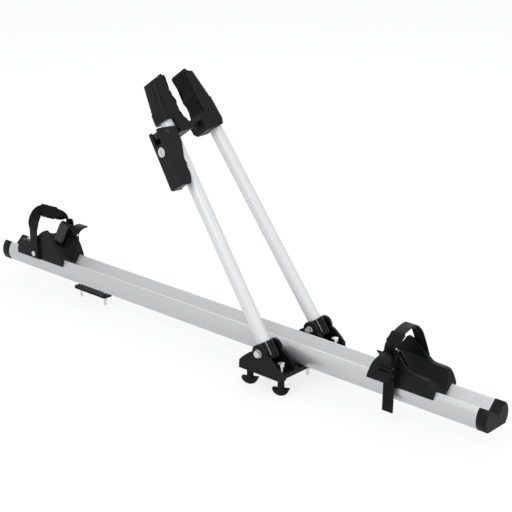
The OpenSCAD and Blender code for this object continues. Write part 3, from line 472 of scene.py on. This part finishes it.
jaw = {"middle": -1, "corner": 11, "round": 0.7, "rod": 468, "rodHole": 4.05, "slotHole": 4.8,
       "slotRise": 4.2, "nutSeat": 72.1, "nutRoom": 8.1, "outside": 150, "socket": 13.55, "socketFrom": 420,
       "tubeEnd": 518.2, "spread": 76.5, "tilt": math.radians(2.26)}
jawHead = {"width": 40.4, "line": ((72.3, 511.8), (59.5, 571)),
           "outline": [(72.3, 511.8), (59.5, 571), (57, 576.5), (45, 577), (40, 578.5), (36, 582.5),
                       (33.5, 584.4), (31, 583), (31, 511.8)]}
jawFoot = {"width": 42, "line": ((76.5, 468), (73.1, 514.8)),
           "near": [(17.5, 473), (18.5, 459.5), (51, 459.5), (51, 488), (54, 491), (75.5, 491), (73.1, 514.8),
                    (31, 514.8), (31, 486.7), (24, 486.7)],
           "far": [(14.5, 473), (16, 456), (23.5, 450), (51, 450), (65.5, 453), (76.5, 465), (73.1, 514.8),
                   (31, 514.8), (31, 486.7), (21, 486.7)]}


def jawHalf(side, outline, line, width):
    (y0, z0), (y1, z1) = line
    r, flat = jaw["corner"], width / 2 - jaw["corner"]
    turns = [math.radians(a) for a in (90, 72, 54, 36, 18, 0)]
    stations = [(-flat - r * math.sin(a), a) for a in turns]
    stations += [(flat + r * math.sin(a), a) for a in turns[::-1]]
    loops = []
    for x, a in stations:
        cut = r * (1 - math.cos(a))
        loops.append([(jaw["middle"] + x, min(y, y0 + (y1 - y0) * (z - z0) / (z1 - z0) - cut), z)
                      for y, z in outline])
    return looseObject(extrudeAlong(loops), armSpace(side))


def crossBore(side, radius, start, rise=0):
    facets = 48
    mesh = roundRod(radius, start, jaw["outside"], facets)
    bmesh.ops.rotate(mesh, matrix=Matrix.Rotation(math.pi / facets, 3, "Z"), verts=mesh.verts)
    bmesh.ops.rotate(mesh, matrix=Matrix.Rotation(-math.pi / 2, 3, "X"), verts=mesh.verts)
    bmesh.ops.translate(mesh, vec=(0, 0, rise), verts=[v for v in mesh.verts if v.co.z > 0])
    return looseObject(mesh, armSpace(side) @ Matrix.Translation((0, 0, jaw["rod"])))


def tubeSocket(side):
    lean = Matrix.Translation((0, jaw["spread"], 0)) @ Matrix.Rotation(jaw["tilt"], 4, "X")
    return looseObject(roundRod(jaw["socket"], jaw["socketFrom"], jaw["tubeEnd"], 72), armSpace(side) @ lean)


def crestedJaw(name, side):
    tools = [("UNION", jawHalf(side, jawHead["outline"], jawHead["line"], jawHead["width"])),
             ("DIFFERENCE", tubeSocket(side))]
    if name == "near":
        tools.append(("DIFFERENCE", crossBore(side, jaw["slotHole"], 0, jaw["slotRise"])))
    else:
        tools.append(("DIFFERENCE", crossBore(side, jaw["rodHole"], 0)))
        tools.append(("DIFFERENCE", crossBore(side, jaw["nutRoom"], jaw["nutSeat"])))
    mesh = carve(jawHalf(side, jawFoot[name], jawFoot["line"], jawFoot["width"]), tools)
    obj = makePiece(name + "CrestedJaw", mesh, name + "_arm", "black_plastic")
    roundEdges(obj, jaw["round"])
    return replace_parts(obj, name + "_jaw")


crestedJaw("near", -1)
crestedJaw("far", 1)
print("jaws made")


# winged knobs under the base, each with a neck and a blind bore

knob = {"turn": math.radians(27), "top": -5.3, "flat": -15.3, "bottom": -37, "half": 17, "thick": 5.5,
        "neck": 6.8, "neckFrom": -32, "bore": 4.05, "boreEnd": -24.3, "along": 40, "across": 82,
        "corners": {"near_left": (-1, -1), "near_right": (1, -1), "far_left": (-1, 1), "far_right": (1, 1)}}


def wingedKnob(corner):
    x, y = knob["corners"][corner]
    place = (Matrix.Scale(mm, 4) @ Matrix.Translation((x * knob["along"], y * knob["across"], 0))
             @ Matrix.Rotation(knob["turn"], 4, "Z"))
    depth = knob["flat"] - knob["bottom"]
    radius = (knob["half"] ** 2 + depth ** 2) / (2 * depth)
    reach = math.asin(knob["half"] / radius)
    arc = [(radius * math.sin(a), knob["bottom"] + radius * (1 - math.cos(a)))
           for a in (reach * (i / 14 - 1) for i in range(29))]
    wing = extrudeAlong([[(x, y, z) for x, z in arc] for y in (-knob["thick"], knob["thick"])])
    neck = roundRod(knob["neck"], knob["neckFrom"], knob["top"], 40)
    bore = roundRod(knob["bore"], knob["boreEnd"], 0, 40)
    mesh = carve(looseObject(wing, place), [("UNION", looseObject(neck, place)),
                                            ("DIFFERENCE", looseObject(bore, place))])
    first, second = corner.split("_")
    obj = makePiece(first + second.capitalize() + "WingedKnob", mesh, corner + "_knob_body", "black_plastic")
    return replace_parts(obj, corner + "_knob")


for corner in knob["corners"]:
    wingedKnob(corner)
print("knobs made")


# soft edges on the moulded nodes that stay in sight

softEdges = {"black_plastic": 0.7, "lever_plastic": 0.6, "jaw_rubber": 0.5}
for nodeName, obj in nodes.items():
    width = softEdges.get(slotOf[nodeName])
    if width is None or obj.hide_render:
        continue
    weld = obj.modifiers.new("weld", "WELD")
    weld.merge_threshold = 0.00001
    roundEdges(obj, width)
print("edges softened")


# floor, light and camera

stageLook = {"level": -0.0375, "size": 14, "floor": (0.93, 0.93, 0.93), "floorRough": 0.9, "floorGlow": 0.8,
             "sky": (0.98, 0.99, 1.0), "skyStrength": 0.85}


def backgroundRays(tree):
    path = tree.nodes.new("ShaderNodeLightPath")
    found = path.outputs["Is Camera Ray"]
    for kind in ("Is Glossy Ray", "Is Transmission Ray"):
        total = tree.nodes.new("ShaderNodeMath")
        total.operation = "ADD"
        total.use_clamp = True
        tree.links.new(found, total.inputs[0])
        tree.links.new(path.outputs[kind], total.inputs[1])
        found = total.outputs[0]
    return found


floorMesh = bmesh.new()
bmesh.ops.create_grid(floorMesh, x_segments=1, y_segments=1, size=stageLook["size"])
floor = linkMesh("floor", floorMesh)
floor.location.z = stageLook["level"]

floorMat = bpy.data.materials.new("floorPaint")
floorMat.use_nodes = True
tree = floorMat.node_tree
paint = tree.nodes["Principled BSDF"]
paint.inputs["Base Color"].default_value = (*stageLook["floor"], 1)
paint.inputs["Roughness"].default_value = stageLook["floorRough"]
glow = tree.nodes.new("ShaderNodeEmission")
glow.inputs["Strength"].default_value = 1.0
share = tree.nodes.new("ShaderNodeMath")
share.operation = "MULTIPLY"
share.inputs[1].default_value = stageLook["floorGlow"]
mix = tree.nodes.new("ShaderNodeMixShader")
tree.links.new(backgroundRays(tree), share.inputs[0])
tree.links.new(share.outputs[0], mix.inputs["Fac"])
tree.links.new(paint.outputs["BSDF"], mix.inputs[1])
tree.links.new(glow.outputs["Emission"], mix.inputs[2])
tree.links.new(mix.outputs["Shader"], tree.nodes["Material Output"].inputs["Surface"])
floor.data.materials.append(floorMat)

world = bpy.data.worlds.new("studio")
bpy.context.scene.world = world
world.use_nodes = True
tree = world.node_tree
sky = tree.nodes["Background"]
sky.inputs["Color"].default_value = (*stageLook["sky"], 1)
sky.inputs["Strength"].default_value = stageLook["skyStrength"]
white = tree.nodes.new("ShaderNodeBackground")
white.inputs["Color"].default_value = (1, 1, 1, 1)
white.inputs["Strength"].default_value = 1.0
mix = tree.nodes.new("ShaderNodeMixShader")
tree.links.new(backgroundRays(tree), mix.inputs["Fac"])
tree.links.new(sky.outputs["Background"], mix.inputs[1])
tree.links.new(white.outputs["Background"], mix.inputs[2])
tree.links.new(mix.outputs["Shader"], tree.nodes["World Output"].inputs["Surface"])

softboxes = {
    "keyLight": {"at": (0.4, -2.2, 2.6), "to": (-0.15, 0, 0.2), "size": (2.0, 1.4), "power": 38},
    "fillLight": {"at": (2.6, 0.6, 1.5), "to": (0, 0, 0.15), "size": (1.6, 1.2), "power": 14},
    "backLight": {"at": (-1.8, 2.2, 2.2), "to": (-0.2, 0, 0.2), "size": (2.0, 1.2), "power": 16},
}
for name, box in softboxes.items():
    light = bpy.data.lights.new(name, "AREA")
    light.shape = "RECTANGLE"
    light.size, light.size_y = box["size"]
    light.energy = box["power"]
    lamp = bpy.data.objects.new(name, light)
    lamp.location = box["at"]
    aim = Vector(box["to"]) - Vector(box["at"])
    lamp.rotation_euler = aim.to_track_quat("-Z", "Y").to_euler()
    bpy.context.scene.collection.objects.link(lamp)

viewer = {"at": (1.6047, -1.8860, 1.1205), "pitch": 69.923, "heading": 42.092, "lens": 96.07}
cameraData = bpy.data.cameras.new("camera")
cameraData.lens = viewer["lens"]
cameraData.sensor_width = 36
cameraData.clip_end = 50
camera = bpy.data.objects.new("camera", cameraData)
camera.location = viewer["at"]
camera.rotation_euler = (math.radians(viewer["pitch"]), 0, math.radians(viewer["heading"]))
bpy.context.scene.collection.objects.link(camera)
bpy.context.scene.camera = camera
bpy.context.scene.view_settings.view_transform = "Standard"
print("stage set")
